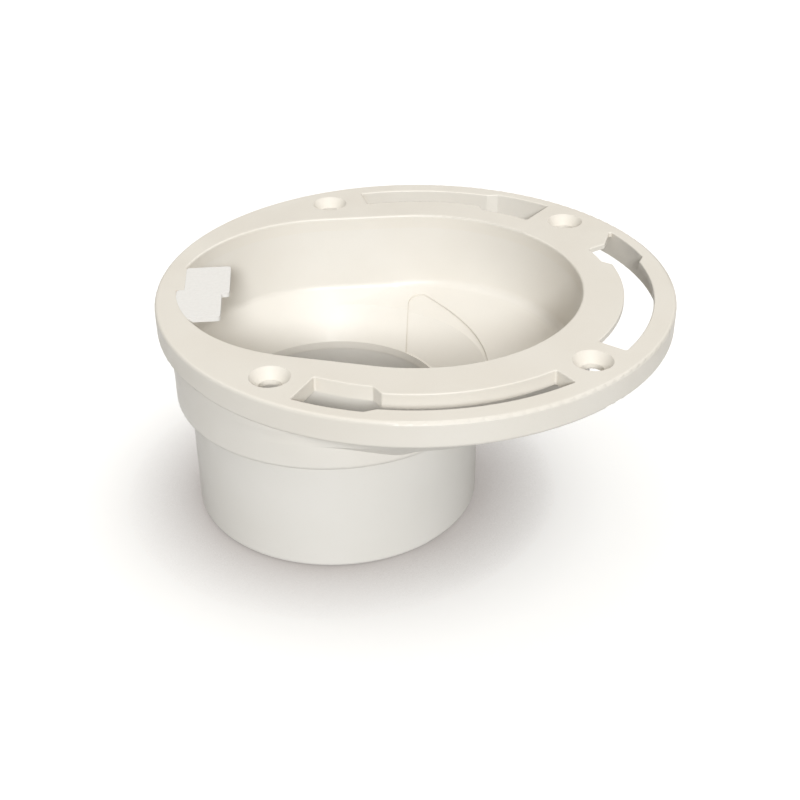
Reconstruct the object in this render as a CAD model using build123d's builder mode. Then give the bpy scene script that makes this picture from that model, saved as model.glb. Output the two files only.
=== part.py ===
from build123d import *
import math
import os

# Offset closet flange in white PVC. Millimetres, +Z up.
# The origin is on the axis of the closet ring, in the plane of the spigot's open end,
# and the drain is offset from that axis towards -X.

# ---- driving dimensions --------------------------------------------------
OVERALL_HEIGHT = 83.2
DRAIN_OFFSET = 28.8

RING_DIAMETER = 174.6
RING_HEIGHT = 9.2
PLATE_THICKNESS = 5.0
SIDE_PLATE_THICKNESS = 1.8
SKIRT_INNER_RADIUS = 80.4
RING_EDGE_RADIUS = 1.1
RING_FOOT_RADIUS = 1.4

MOUTH_RADIUS = 56.5
MOUTH_DRAIN_END_RADIUS = 51.8
BOWL_WALL = 5.0
BOWL_DRAIN_END_WALL = 4.35
BOWL_DRAFT_ANGLE = 1.5
WALL_DEPTH = 28.0
CREASE_RADIUS = 3.5

FUNNEL_DEPTH = 34.0
FUNNEL_RING_END_RADIUS = 47.8
FUNNEL_RING_END_X = -22.5
FUNNEL_DRAIN_END_RADIUS = 47.0
FLOOR_THICKNESS = 4.3
THROAT_RADIUS = 38.95
THROAT_DEPTH = 45.5
PIPE_STOP_DEPTH = 48.5
SEAT_RADIUS = 46.2

OUTER_FOOT_DEPTH = 26.0
UNDERSIDE_TURN = 4.5
UNDERSIDE_INSET = 1.0
RAMP_DEPTH = 0.7
RAMP_EDGE_X = -5.5
RAMP_ARC_RADIUS = 65.0
RAMP_ARC_X = -39.0
RAMP_LIMIT_RADIUS = 51.5
RAMP_CORNER_RADIUS = 4.0
COLLAR_RADIUS = 55.6
COLLAR_DEPTH = 40.4
COLLAR_EDGE_RADIUS = 2.0

SPIGOT_RADIUS = 51.0
SOCKET_RADIUS = 44.6
SPIGOT_BEVEL_DROP = 4.8
SOCKET_LEAD_IN = 1.2
SPIGOT_FOOT_RADIUS = 1.5

TAB_WIDTH = 15.2
TAB_LENGTH = 20.4
TAB_THICKNESS = 1.6
TAB_CORNER_RADIUS = 1.2
TAB_TURN = 9
TAB_EDGE_REACH = 0.4
BACK_TAB_CENTRE = (-70.7, -1.8)
FRONT_TAB_CENTRE = (-70.6, -18.7)
TAB_LEDGE_CENTRE = (-80.7, -1.5)
TAB_LEDGE_SIZE = (4.4, 16.6)

SCREW_CIRCLE_RADIUS = 75.4
SCREW_ANGLES = (45.5, 119.1, -121.7, -40.9)
SCREW_HOLE_RADIUS = 3.6
COUNTERSINK_RADIUS = 6.4
MOUTH_EDGE_RADIUS = 0.7
SLOT_EDGE_RADIUS = 0.45
SLOT_CORNER_RADIUS = 0.7

# Bolt slots. Each has a wide head window, a slanted step and a narrow run.
SLOT_HEAD_OUTER = 82.4
SLOT_STEP_ANGLE = 2.6
# For each slot: the head's inner radius, then the narrow run's inner and outer radius, then the
# angles of the head's outer corner, the head's inner corner, the step and the narrow run's end.
FRONT_SLOT = (68.6, 72.0, 80.4, -112.6, -112.6, -97.0, -50.6)
BACK_SLOT = (66.8, 70.0, 80.4, 55.2, 54.6, 70.2, 108.5)
SIDE_SLOT = (67.3, 70.2, 79.9, 33.4, 26.2, 17.4, -32.2)
# The side slot's head has one more corner on its end. The plate around the slot is a thin lip
# over a hollow that reaches out to the skirt.
SIDE_SLOT_NOTCH = (74.7, 27.4)
THIN_PLATE_INNER = 63.5
THIN_PLATE_ANGLES = (-34.5, 40.0)

# ---- heights worked out from the driving dimensions ----------------------
RING_RADIUS = RING_DIAMETER / 2
TOP = OVERALL_HEIGHT
PLATE_UNDERSIDE = TOP - PLATE_THICKNESS
RING_UNDERSIDE = TOP - RING_HEIGHT
WALL_FOOT = TOP - WALL_DEPTH
OUTER_FOOT = TOP - OUTER_FOOT_DEPTH
TURN_FOOT = OUTER_FOOT - UNDERSIDE_TURN
FUNNEL_TOP = TOP - FUNNEL_DEPTH
THROAT_TOP = TOP - THROAT_DEPTH
PIPE_STOP = TOP - PIPE_STOP_DEPTH
COLLAR_FOOT = TOP - COLLAR_DEPTH
BEVEL_FOOT = COLLAR_FOOT - SPIGOT_BEVEL_DROP
OUTER_RING_END = MOUTH_RADIUS + BOWL_WALL
OUTER_DRAIN_END = MOUTH_DRAIN_END_RADIUS + BOWL_DRAIN_END_WALL

os.makedirs("parts", exist_ok=True)


def polar_point(radius, degrees):
    """Point at a radius and an angle about the ring's axis."""
    return (radius * math.cos(math.radians(degrees)), radius * math.sin(math.radians(degrees)))


def egg_outline(ring_end_radius, drain_end_radius, ring_end_x=0.0):
    """Closed outline round two circles: one at ring_end_x and one on the drain's axis."""
    lean = math.asin((ring_end_radius - drain_end_radius) / (DRAIN_OFFSET + ring_end_x))
    ring_x = ring_end_x - ring_end_radius * math.sin(lean)
    ring_y = ring_end_radius * math.cos(lean)
    drain_x = -DRAIN_OFFSET - drain_end_radius * math.sin(lean)
    drain_y = drain_end_radius * math.cos(lean)
    ThreePointArc((ring_x, ring_y), (ring_end_x + ring_end_radius, 0), (ring_x, -ring_y))
    Line((ring_x, -ring_y), (drain_x, -drain_y))
    ThreePointArc((drain_x, -drain_y), (-DRAIN_OFFSET - drain_end_radius, 0), (drain_x, drain_y))
    Line((drain_x, drain_y), (ring_x, ring_y))


def round_outline(radius):
    """Circle on the drain's axis in four arcs, which match an egg outline's four edges."""
    corner_angles = (84, -84, -96, 96)
    middle_angles = (0, -90, 180, 90)
    for number, middle in enumerate(middle_angles):
        points = []
        for angle in (corner_angles[number], middle, corner_angles[(number + 1) % 4]):
            x, y = polar_point(radius, angle)
            points.append((x - DRAIN_OFFSET, y))
        ThreePointArc(*points)


def bolt_slot_outline(slot, notch=None):
    """Curved slot for a closet bolt: a wide head window that steps down to a narrow run."""
    head_inner, narrow_inner, narrow_outer, outer_corner, inner_corner, head_step, narrow_end = slot
    way = 1 if narrow_end > head_step else -1
    narrow_start = head_step + way * SLOT_STEP_ANGLE
    narrow_middle = (narrow_start + narrow_end) / 2
    inner_head_middle = (inner_corner + head_step) / 2
    outer_head_middle = (outer_corner + head_step) / 2
    head_end = [polar_point(SLOT_HEAD_OUTER, outer_corner), polar_point(head_inner, inner_corner)]
    if notch is not None:
        head_end.insert(1, polar_point(*notch))
    inner_step = [polar_point(head_inner, head_step), polar_point(narrow_inner, narrow_start)]
    run_end = [polar_point(narrow_inner, narrow_end), polar_point(narrow_outer, narrow_end)]
    outer_step = [polar_point(narrow_outer, narrow_start), polar_point(SLOT_HEAD_OUTER, head_step)]
    Polyline(*head_end)
    ThreePointArc(head_end[-1], polar_point(head_inner, inner_head_middle), inner_step[0])
    Line(*inner_step)
    ThreePointArc(inner_step[1], polar_point(narrow_inner, narrow_middle), run_end[0])
    Line(*run_end)
    ThreePointArc(run_end[1], polar_point(narrow_outer, narrow_middle), outer_step[0])
    Line(*outer_step)
    ThreePointArc(outer_step[1], polar_point(SLOT_HEAD_OUTER, outer_head_middle), head_end[0])


def sector_outline(inner_radius, outer_radius, start_angle, end_angle):
    """Part of a flat ring between two angles about the ring's axis."""
    middle = (start_angle + end_angle) / 2
    inner = [polar_point(inner_radius, angle) for angle in (start_angle, middle, end_angle)]
    outer = [polar_point(outer_radius, angle) for angle in (start_angle, middle, end_angle)]
    ThreePointArc(*inner)
    Line(inner[2], outer[2])
    ThreePointArc(*outer)
    Line(outer[0], inner[0])


# ---- closet ring ---------------------------------------------------------
# Flat plate with a skirt, the bowl's mouth, three bolt slots and four countersunk holes.
# A socket in the underside receives the top edge of the bowl.
with BuildPart() as closet_ring:
    with BuildSketch(Plane.XY.offset(RING_UNDERSIDE)):
        Circle(RING_RADIUS)
    extrude(amount=RING_HEIGHT)
    fillet(closet_ring.edges().group_by(Axis.Z)[-1], RING_EDGE_RADIUS)
    fillet(closet_ring.edges().group_by(Axis.Z)[0], RING_FOOT_RADIUS)
    with BuildSketch(Plane.XY.offset(RING_UNDERSIDE)):
        Circle(SKIRT_INNER_RADIUS)
    extrude(amount=RING_HEIGHT - PLATE_THICKNESS, mode=Mode.SUBTRACT)
    with BuildSketch(Plane.XY.offset(RING_UNDERSIDE)):
        with BuildLine():
            egg_outline(OUTER_RING_END, OUTER_DRAIN_END)
        make_face()
    extrude(amount=RING_HEIGHT - PLATE_THICKNESS, mode=Mode.SUBTRACT)
    with BuildSketch(Plane.XY.offset(RING_UNDERSIDE)):
        with BuildLine():
            egg_outline(MOUTH_RADIUS, MOUTH_DRAIN_END_RADIUS)
        make_face()
    extrude(amount=RING_HEIGHT, mode=Mode.SUBTRACT)
    with BuildSketch(Plane.XY.offset(RING_UNDERSIDE)) as slots:
        for slot, notch in ((FRONT_SLOT, None), (BACK_SLOT, None), (SIDE_SLOT, SIDE_SLOT_NOTCH)):
            with BuildLine():
                bolt_slot_outline(slot, notch)
            make_face()
        fillet(slots.vertices(), SLOT_CORNER_RADIUS)
    extrude(amount=RING_HEIGHT, mode=Mode.SUBTRACT)
    for number, edge_radius in enumerate((SLOT_EDGE_RADIUS,) * 3 + (MOUTH_EDGE_RADIUS,)):
        top_face = closet_ring.faces().sort_by(Axis.Z)[-1]
        edge_loop = top_face.inner_wires().sort_by(SortBy.LENGTH)[number]
        fillet(edge_loop.edges(), edge_radius)
    with BuildSketch(Plane.XY.offset(RING_UNDERSIDE)):
        with BuildLine():
            sector_outline(THIN_PLATE_INNER, SLOT_HEAD_OUTER, *THIN_PLATE_ANGLES)
        make_face()
    extrude(amount=RING_HEIGHT - SIDE_PLATE_THICKNESS, mode=Mode.SUBTRACT)
    with BuildSketch(Plane.XY.offset(TOP - TAB_THICKNESS)):
        with Locations(Location((*TAB_LEDGE_CENTRE, 0), TAB_TURN)):
            Rectangle(*TAB_LEDGE_SIZE)
    extrude(amount=TAB_THICKNESS)
    screw_points = [polar_point(SCREW_CIRCLE_RADIUS, angle) for angle in SCREW_ANGLES]
    with Locations(*[(x, y, TOP) for x, y in screw_points]):
        CounterSinkHole(SCREW_HOLE_RADIUS, COUNTERSINK_RADIUS, depth=RING_HEIGHT)
closet_ring.part.label = "closet_ring"
export_step(closet_ring.part, "parts/closet_ring.step")

# ---- inside of the bowl --------------------------------------------------
# Drafted wall, a shelf that slopes to the funnel, the funnel and the throat.
wall_shrink = (PLATE_UNDERSIDE - WALL_FOOT) * math.tan(math.radians(BOWL_DRAFT_ANGLE))
with BuildPart() as bowl_void:
    with BuildSketch(Plane.XY.offset(PLATE_UNDERSIDE)) as void_top:
        with BuildLine():
            egg_outline(MOUTH_RADIUS, MOUTH_DRAIN_END_RADIUS)
        make_face()
    with BuildSketch(Plane.XY.offset(WALL_FOOT)) as void_foot:
        with BuildLine():
            egg_outline(MOUTH_RADIUS - wall_shrink, MOUTH_DRAIN_END_RADIUS - wall_shrink)
        make_face()
    with BuildSketch(Plane.XY.offset(FUNNEL_TOP)) as funnel_top:
        with BuildLine():
            egg_outline(FUNNEL_RING_END_RADIUS, FUNNEL_DRAIN_END_RADIUS, FUNNEL_RING_END_X)
        make_face()
    with BuildSketch(Plane.XY.offset(THROAT_TOP)) as funnel_foot:
        with BuildLine():
            round_outline(THROAT_RADIUS)
        make_face()
    loft([void_top.sketch, void_foot.sketch], ruled=True)
    loft([void_foot.sketch, funnel_top.sketch], ruled=True)
    loft([funnel_top.sketch, funnel_foot.sketch], ruled=True)
    crease = bowl_void.edges().filter_by_position(Axis.Z, WALL_FOOT - 0.01, WALL_FOOT + 0.01)
    fillet(crease, CREASE_RADIUS)

# The ramp on the ring side of the drain lies a little below the floor around it: it is the bowl's
# inside moved down, kept to a D-shaped patch.
with BuildPart() as ramp_recess:
    add(bowl_void.part.moved(Location((0, 0, -RAMP_DEPTH))))
    with BuildSketch(Plane.XY.offset(THROAT_TOP)) as ramp_outline:
        with Locations((RAMP_ARC_X, 0)):
            Circle(RAMP_ARC_RADIUS)
        Circle(RAMP_LIMIT_RADIUS, mode=Mode.INTERSECT)
        with Locations((RAMP_EDGE_X, 0)):
            Rectangle(RAMP_LIMIT_RADIUS * 2, RAMP_LIMIT_RADIUS * 2, align=(Align.MIN, Align.CENTER),
                      mode=Mode.INTERSECT)
        fillet(ramp_outline.vertices(), RAMP_CORNER_RADIUS)
    extrude(amount=WALL_FOOT - THROAT_TOP, mode=Mode.INTERSECT)

# ---- offset bowl ---------------------------------------------------------
# The outside is an egg-shaped wall that fits the ring's socket, a sloping underside, a round
# collar on the drain's axis and a nozzle, whose end stops the pipe.
outer_shrink = (RING_UNDERSIDE - OUTER_FOOT) * math.tan(math.radians(BOWL_DRAFT_ANGLE))
with BuildPart() as offset_bowl:
    with BuildSketch(Plane.XY.offset(RING_UNDERSIDE)) as outer_top:
        with BuildLine():
            egg_outline(OUTER_RING_END, OUTER_DRAIN_END)
        make_face()
    extrude(amount=PLATE_UNDERSIDE - RING_UNDERSIDE)
    with BuildSketch(Plane.XY.offset(OUTER_FOOT)) as outer_foot:
        with BuildLine():
            egg_outline(OUTER_RING_END - outer_shrink, OUTER_DRAIN_END - outer_shrink)
        make_face()
    with BuildSketch(Plane.XY.offset(TURN_FOOT)) as outer_turn:
        with BuildLine():
            egg_outline(OUTER_RING_END - outer_shrink - UNDERSIDE_TURN, COLLAR_RADIUS)
        make_face()
    with BuildSketch(Plane.XY.offset(FUNNEL_TOP - FLOOR_THICKNESS)) as outer_funnel:
        with BuildLine():
            egg_outline(
                FUNNEL_RING_END_RADIUS + FLOOR_THICKNESS,
                COLLAR_RADIUS - UNDERSIDE_INSET,
                FUNNEL_RING_END_X,
            )
        make_face()
    loft([outer_top.sketch, outer_foot.sketch], ruled=True)
    loft([outer_foot.sketch, outer_turn.sketch], ruled=True)
    loft([outer_turn.sketch, outer_funnel.sketch], ruled=True)
    with BuildSketch(Plane.XY.offset(COLLAR_FOOT)):
        with Locations((-DRAIN_OFFSET, 0)):
            Circle(COLLAR_RADIUS)
    extrude(amount=TURN_FOOT - COLLAR_FOOT)
    fillet(offset_bowl.edges().group_by(Axis.Z)[0], COLLAR_EDGE_RADIUS)
    with BuildSketch(Plane.XZ):
        with BuildLine():
            Polyline(
                (-DRAIN_OFFSET, COLLAR_FOOT),
                (-DRAIN_OFFSET, PIPE_STOP),
                (-DRAIN_OFFSET + SEAT_RADIUS, PIPE_STOP),
                (-DRAIN_OFFSET + SEAT_RADIUS, BEVEL_FOOT),
                (-DRAIN_OFFSET + SPIGOT_RADIUS, COLLAR_FOOT),
                close=True,
            )
        make_face()
    revolve(axis=Axis((-DRAIN_OFFSET, 0, 0), (0, 0, 1)))
    add(bowl_void.part, mode=Mode.SUBTRACT)
    add(ramp_recess.part, mode=Mode.SUBTRACT)
    with BuildSketch(Plane.XY.offset(PIPE_STOP)):
        with Locations((-DRAIN_OFFSET, 0)):
            Circle(THROAT_RADIUS)
    extrude(amount=THROAT_TOP - PIPE_STOP, mode=Mode.SUBTRACT)
offset_bowl.part.label = "offset_bowl"
export_step(offset_bowl.part, "parts/offset_bowl.step")

# ---- spigot --------------------------------------------------------------
# Short pipe that fits inside a 4 in pipe, with a socket for a 3 in pipe. A step inside its
# bevelled top seats the bowl's nozzle.
with BuildPart() as spigot:
    with BuildSketch(Plane.XZ):
        with BuildLine():
            Polyline(
                (-DRAIN_OFFSET + SOCKET_RADIUS, 0),
                (-DRAIN_OFFSET + SPIGOT_RADIUS, 0),
                (-DRAIN_OFFSET + SPIGOT_RADIUS, COLLAR_FOOT),
                (-DRAIN_OFFSET + SEAT_RADIUS, BEVEL_FOOT),
                (-DRAIN_OFFSET + SEAT_RADIUS, PIPE_STOP),
                (-DRAIN_OFFSET + SOCKET_RADIUS, PIPE_STOP),
                close=True,
            )
        make_face()
    revolve(axis=Axis((-DRAIN_OFFSET, 0, 0), (0, 0, 1)))
    rims = spigot.edges().group_by(Axis.Z)[0].sort_by(SortBy.RADIUS)
    chamfer(rims[0], SOCKET_LEAD_IN)
    fillet(rims[-1], SPIGOT_FOOT_RADIUS)
spigot.part.label = "spigot"
export_step(spigot.part, "parts/spigot.step")

# ---- mouth tabs ----------------------------------------------------------
# Two thin tabs, level with the ring's top, that reach into the mouth from its drain end.
def mouth_tab(centre):
    """Rounded tab, cut to the mouth and to the ring's rounded edge."""
    with BuildPart() as tab:
        with BuildSketch(Plane.XY.offset(TOP - TAB_THICKNESS)):
            with Locations(Location((centre[0], centre[1], 0), TAB_TURN)):
                RectangleRounded(TAB_WIDTH, TAB_LENGTH, TAB_CORNER_RADIUS)
        extrude(amount=TAB_THICKNESS)
        with BuildSketch(Plane.XY.offset(TOP - TAB_THICKNESS)):
            with BuildLine():
                egg_outline(MOUTH_RADIUS + TAB_EDGE_REACH, MOUTH_DRAIN_END_RADIUS + TAB_EDGE_REACH)
            make_face()
        extrude(amount=TAB_THICKNESS, mode=Mode.INTERSECT)
        add(closet_ring.part, mode=Mode.SUBTRACT)
    return tab


mouth_tab_back = mouth_tab(BACK_TAB_CENTRE)
mouth_tab_back.part.label = "mouth_tab_back"
export_step(mouth_tab_back.part, "parts/mouth_tab_back.step")

mouth_tab_front = mouth_tab(FRONT_TAB_CENTRE)
with mouth_tab_front:
    add(mouth_tab_back.part, mode=Mode.SUBTRACT)
mouth_tab_front.part.label = "mouth_tab_front"
export_step(mouth_tab_front.part, "parts/mouth_tab_front.step")
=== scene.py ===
import bpy
import math
from mathutils import Matrix, Vector


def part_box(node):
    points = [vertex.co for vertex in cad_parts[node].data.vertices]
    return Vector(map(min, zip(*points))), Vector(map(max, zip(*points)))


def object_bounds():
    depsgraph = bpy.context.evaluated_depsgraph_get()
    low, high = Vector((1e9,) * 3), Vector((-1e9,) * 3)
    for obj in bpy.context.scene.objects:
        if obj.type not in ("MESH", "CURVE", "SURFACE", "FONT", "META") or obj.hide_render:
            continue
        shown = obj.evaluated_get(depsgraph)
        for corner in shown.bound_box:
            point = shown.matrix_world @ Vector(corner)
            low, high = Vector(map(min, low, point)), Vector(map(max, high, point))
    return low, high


# Offset closet flange in moulded white PVC on a white studio floor. Metres, in the CAD frame.
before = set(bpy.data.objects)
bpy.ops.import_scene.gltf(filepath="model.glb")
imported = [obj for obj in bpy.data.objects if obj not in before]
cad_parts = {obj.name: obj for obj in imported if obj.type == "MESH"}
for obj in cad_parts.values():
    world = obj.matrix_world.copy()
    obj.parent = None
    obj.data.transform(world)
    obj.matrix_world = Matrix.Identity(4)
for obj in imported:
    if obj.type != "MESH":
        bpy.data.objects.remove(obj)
cad_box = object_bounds()

# ---- the view: degrees, metres, and millimetres for the lens --------------
CAMERA_AZIMUTH = 4.22
CAMERA_ELEVATION = 32.0
CAMERA_ROLL = -0.6
CAMERA_DISTANCE = 0.4239
CAMERA_NEAR = 0.01
CAMERA_LENS = 56.25
SENSOR_WIDTH = 36.0
AIM_FROM_RING = Vector((-0.0039, -0.0214, -0.0337))

# ---- the lights: name, azimuth, elevation and softness in degrees, strength, colour
COOL = (0.975, 0.99, 1.0)
WARM = (1.0, 0.975, 0.93)
STUDIO_LIGHTS = (
    ("front_light", -83.0, 27.0, 12.0, 2.4, COOL),
    ("bounce_light", -83.0, -50.0, 50.0, 0.5, COOL),
    ("overhead_light", 60.0, 78.0, 100.0, 1.75, WARM),
)
AMBIENT_COLOUR = (1.0, 0.965, 0.90, 1.0)
AMBIENT_STRENGTH = 0.17
WHITE = (1.0, 1.0, 1.0, 1.0)

# ---- the floor ------------------------------------------------------------
FLOOR_RADIUS = 4.0
FLOOR_SIDES = 64
FLOOR_GLOW = 0.15
# Painted contact shadow: the floor darkens towards a brown grey within this reach of the
# object.
PAINTED_SHADOW_REACH = 0.05
FLOOR_DARK = (0.94, 0.94, 0.94)
FLOOR_LIGHT = (0.97, 0.97, 0.97)
FLOOR_PAINTED_SHADOW = (0.36, 0.32, 0.30)

# ---- the finishes: colours are linear red, green and blue ------------------
# For each PVC node: its material, the dark and the light of its pigment, and its roughness.
PVC_FINISHES = {
    "closet_ring": ("ring_pvc", (0.775, 0.735, 0.665), (0.80, 0.765, 0.70), 0.42),
    "offset_bowl": ("bowl_pvc", (0.775, 0.74, 0.68), (0.80, 0.77, 0.715), 0.40),
    "spigot": ("spigot_pvc", (0.775, 0.75, 0.70), (0.80, 0.775, 0.73), 0.44),
}
PVC_SPECK = (0.62, 0.57, 0.48)
# Painted shade: the PVC turns this darker warm colour in creases and corners, within the reach
# below.
PVC_PAINTED_SHADE = (0.50, 0.44, 0.36)
PVC_PAINTED_SHADE_REACH = 0.006
PVC_IOR = 1.53
FILM_NODES = ("mouth_tab_back", "mouth_tab_front")
FILM_DARK = (0.80, 0.79, 0.77)
FILM_LIGHT = (0.84, 0.83, 0.81)
CREVICE_SAMPLES = 8


# ---- node helpers --------------------------------------------------------
class Shader:
    """A node material with short calls for the nodes used here."""

    def __init__(self, name):
        self.material = bpy.data.materials.new(name)
        self.material.use_nodes = True
        self.nodes = self.material.node_tree.nodes
        self.links = self.material.node_tree.links
        self.surface = self.nodes["Principled BSDF"]
        self.place = self.nodes.new("ShaderNodeTexCoord").outputs["Object"]

    def noise(self, scale, detail=2.0, roughness=0.5):
        """Noise over the real surface; scale is in features per metre."""
        node = self.nodes.new("ShaderNodeTexNoise")
        node.inputs["Scale"].default_value = scale
        node.inputs["Detail"].default_value = detail
        node.inputs["Roughness"].default_value = roughness
        self.links.new(self.place, node.inputs["Vector"])
        return node.outputs["Fac"]

    def spread(self, value, source, target):
        """Maps a value from the source range to the target range, and keeps it inside."""
        node = self.nodes.new("ShaderNodeMapRange")
        node.inputs["From Min"].default_value, node.inputs["From Max"].default_value = source
        node.inputs["To Min"].default_value, node.inputs["To Max"].default_value = target
        self.links.new(value, node.inputs["Value"])
        return node.outputs["Result"]

    def blend(self, amount, first, second):
        """Mixes two colours; each is a colour or another node's output."""
        node = self.nodes.new("ShaderNodeMix")
        node.data_type = "RGBA"
        self.links.new(amount, node.inputs["Factor"])
        colours = {s.name: s for s in node.inputs if s.type == "RGBA"}
        for label, colour in (("A", first), ("B", second)):
            if isinstance(colour, tuple):
                colours[label].default_value = (*colour, 1.0)
            else:
                self.links.new(colour, colours[label])
        return next(s for s in node.outputs if s.type == "RGBA")

    def bump(self, height, depth, strength, below=None):
        """Raises the surface by up to depth metres; below is a bump to add it to."""
        node = self.nodes.new("ShaderNodeBump")
        node.inputs["Distance"].default_value = depth
        node.inputs["Strength"].default_value = strength
        self.links.new(height, node.inputs["Height"])
        if below is not None:
            self.links.new(below, node.inputs["Normal"])
        return node.outputs["Normal"]

    def crevice(self, reach):
        """1 in the open and less where the surface is hemmed in within reach metres."""
        node = self.nodes.new("ShaderNodeAmbientOcclusion")
        node.samples = CREVICE_SAMPLES
        node.inputs["Distance"].default_value = reach
        return node.outputs["AO"]

    def feed(self, socket, value):
        """Connects a node's output to a socket of the surface shader."""
        self.links.new(value, self.surface.inputs[socket])


# ---- materials -----------------------------------------------------------
def moulded_pvc(name, dark, light, gloss):
    """Rigid PVC: cloudy pigment, faint specks, painted shade in creases and corners, a moulding
    grain and slow ripples.
    """
    shader = Shader(name)
    clouds = shader.spread(shader.noise(scale=26.0, detail=3.0), (0.35, 0.65), (0.0, 1.0))
    specks = shader.spread(shader.noise(scale=1400.0), (0.62, 0.78), (0.0, 0.10))
    # Painted shade: the colour darkens where the surface is hemmed in, as in corners and
    # creases.
    painted_shade_mask = shader.spread(shader.crevice(PVC_PAINTED_SHADE_REACH), (0.2, 0.8), (0.8, 0.0))
    pigment = shader.blend(clouds, dark, light)
    speckled = shader.blend(specks, pigment, PVC_SPECK)
    shader.feed("Base Color", shader.blend(painted_shade_mask, speckled, PVC_PAINTED_SHADE))
    wear = shader.noise(scale=160.0, detail=4.0)
    shader.feed("Roughness", shader.spread(wear, (0.3, 0.7), (gloss - 0.06, gloss + 0.07)))
    ripples = shader.bump(shader.noise(scale=45.0, detail=1.0), depth=0.00018, strength=0.2)
    pores = shader.noise(scale=2600.0, detail=3.0, roughness=0.6)
    shader.feed("Normal", shader.bump(pores, depth=0.00004, strength=0.35, below=ripples))
    shader.surface.inputs["IOR"].default_value = PVC_IOR
    return shader.material


def tab_film():
    """Thin white film: almost neutral, with a soft fibre and a matt face."""
    shader = Shader("tab_film")
    fibre = shader.noise(scale=900.0, detail=4.0, roughness=0.65)
    shader.feed("Base Color", shader.blend(
        shader.spread(fibre, (0.35, 0.65), (0.0, 1.0)), FILM_DARK, FILM_LIGHT))
    face = shader.noise(scale=300.0, detail=3.0)
    shader.feed("Roughness", shader.spread(face, (0.3, 0.7), (0.55, 0.68)))
    creases = shader.noise(scale=120.0)
    shader.feed("Normal", shader.bump(creases, depth=0.0002, strength=0.3))
    return shader.material


def floor_paint():
    """White studio floor, a little uneven in tone, with a soft painted contact shadow near the
    object.
    """
    shader = Shader("floor_paint")
    tone = shader.spread(shader.noise(scale=3.0, detail=3.0), (0.3, 0.7), (0.0, 1.0))
    # Painted contact shadow: the floor colour turns darker where the object hems it in.
    painted_shade_mask = shader.spread(shader.crevice(PAINTED_SHADOW_REACH), (0.5, 0.95), (0.95, 0.0))
    paint = shader.blend(tone, FLOOR_DARK, FLOOR_LIGHT)
    shader.feed("Base Color", shader.blend(painted_shade_mask, paint, FLOOR_PAINTED_SHADOW))
    texture = shader.noise(scale=40.0, detail=3.0)
    shader.feed("Roughness", shader.spread(texture, (0.3, 0.7), (0.75, 0.85)))
    shader.surface.inputs["Emission Color"].default_value = WHITE
    shader.surface.inputs["Emission Strength"].default_value = FLOOR_GLOW
    return shader.material


def dress(node, material):
    """Gives a CAD node its material in every slot."""
    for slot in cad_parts[node].material_slots:
        slot.material = material


for pvc_node, finish in PVC_FINISHES.items():
    dress(pvc_node, moulded_pvc(*finish))

film = tab_film()
for film_node in FILM_NODES:
    dress(film_node, film)


# ---- floor ---------------------------------------------------------------
def make_floor():
    """A wide flat disc under the spigot's open end. It sends the object no diffuse light,
    and it doesn't stop the light from below."""
    low = min(corner[2] for corner in cad_box)
    turn = 2 * math.pi / FLOOR_SIDES
    points = [(FLOOR_RADIUS * math.cos(i * turn), FLOOR_RADIUS * math.sin(i * turn), low)
              for i in range(FLOOR_SIDES)]
    mesh = bpy.data.meshes.new("studio_floor")
    mesh.from_pydata(points, [], [tuple(range(FLOOR_SIDES))])
    mesh.materials.append(floor_paint())
    floor = bpy.data.objects.new("studio_floor", mesh)
    bpy.context.collection.objects.link(floor)
    floor.visible_diffuse = False
    floor.visible_shadow = False


make_floor()

# ---- camera --------------------------------------------------------------
ring_low, ring_high = (Vector(corner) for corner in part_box("closet_ring"))
ring_top = Vector(((ring_low.x + ring_high.x) / 2, (ring_low.y + ring_high.y) / 2, ring_high.z))


def view_axes(azimuth, elevation, roll):
    """Right, up and forward of a camera that looks towards +Y and down."""
    turn, drop, tilt = (math.radians(a) for a in (azimuth, elevation, roll))
    forward = Vector((
        -math.sin(turn) * math.cos(drop),
        math.cos(turn) * math.cos(drop),
        -math.sin(drop),
    ))
    level = Vector((math.cos(turn), math.sin(turn), 0.0))
    upright = level.cross(forward)
    right = math.cos(tilt) * level + math.sin(tilt) * upright
    up = math.cos(tilt) * upright - math.sin(tilt) * level
    return right, up, forward


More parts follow.
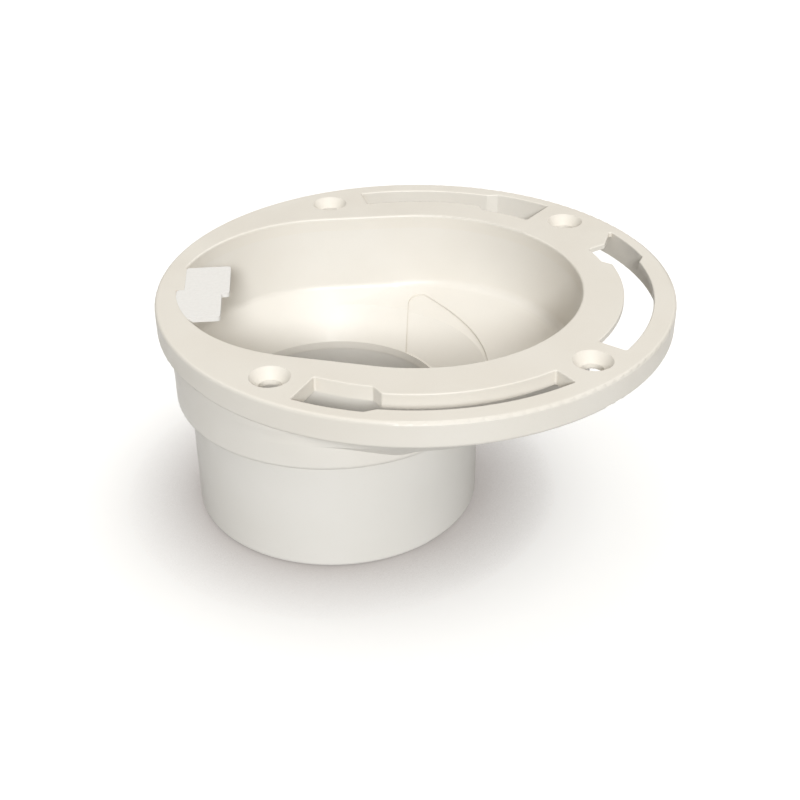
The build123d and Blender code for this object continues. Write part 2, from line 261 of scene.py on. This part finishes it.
def make_camera():
    """Camera at the photograph's angle and distance."""
    right, up, forward = view_axes(CAMERA_AZIMUTH, CAMERA_ELEVATION, CAMERA_ROLL)
    data = bpy.data.cameras.new("camera")
    data.sensor_width = SENSOR_WIDTH
    data.lens = CAMERA_LENS
    data.clip_start = CAMERA_NEAR
    camera = bpy.data.objects.new("camera", data)
    bpy.context.collection.objects.link(camera)
    place = ring_top + AIM_FROM_RING - CAMERA_DISTANCE * forward
    turned = Matrix((right, up, -forward)).transposed().to_4x4()
    camera.matrix_world = Matrix.Translation(place) @ turned
    bpy.context.scene.camera = camera


make_camera()


# ---- light ---------------------------------------------------------------
def studio_light(name, azimuth, elevation, softness, strength, colour):
    """Soft, even light that comes from a direction; the angles are in degrees."""
    turn, rise = math.radians(azimuth), math.radians(elevation)
    towards = Vector((
        math.cos(turn) * math.cos(rise),
        math.sin(turn) * math.cos(rise),
        math.sin(rise),
    ))
    data = bpy.data.lights.new(name, "SUN")
    data.angle = math.radians(softness)
    data.energy = strength
    data.color = colour
    light = bpy.data.objects.new(name, data)
    bpy.context.collection.objects.link(light)
    light.location = ring_top + towards
    light.rotation_euler = (-towards).to_track_quat("-Z", "Y").to_euler()


for studio_lamp in STUDIO_LIGHTS:
    studio_light(*studio_lamp)


def make_world():
    """Faint warm light from all round; the camera sees a plain white backdrop instead."""
    world = bpy.data.worlds.new("studio")
    world.use_nodes = True
    nodes, links = world.node_tree.nodes, world.node_tree.links
    ambient = nodes["Background"]
    ambient.inputs["Color"].default_value = AMBIENT_COLOUR
    ambient.inputs["Strength"].default_value = AMBIENT_STRENGTH
    backdrop = nodes.new("ShaderNodeBackground")
    backdrop.inputs["Color"].default_value = WHITE
    backdrop.inputs["Strength"].default_value = 1.0
    choice = nodes.new("ShaderNodeMixShader")
    links.new(nodes.new("ShaderNodeLightPath").outputs["Is Camera Ray"], choice.inputs["Fac"])
    links.new(ambient.outputs["Background"], choice.inputs[1])
    links.new(backdrop.outputs["Background"], choice.inputs[2])
    links.new(choice.outputs["Shader"], nodes["World Output"].inputs["Surface"])
    bpy.context.scene.world = world


make_world()
bpy.context.scene.view_settings.view_transform = "Standard"
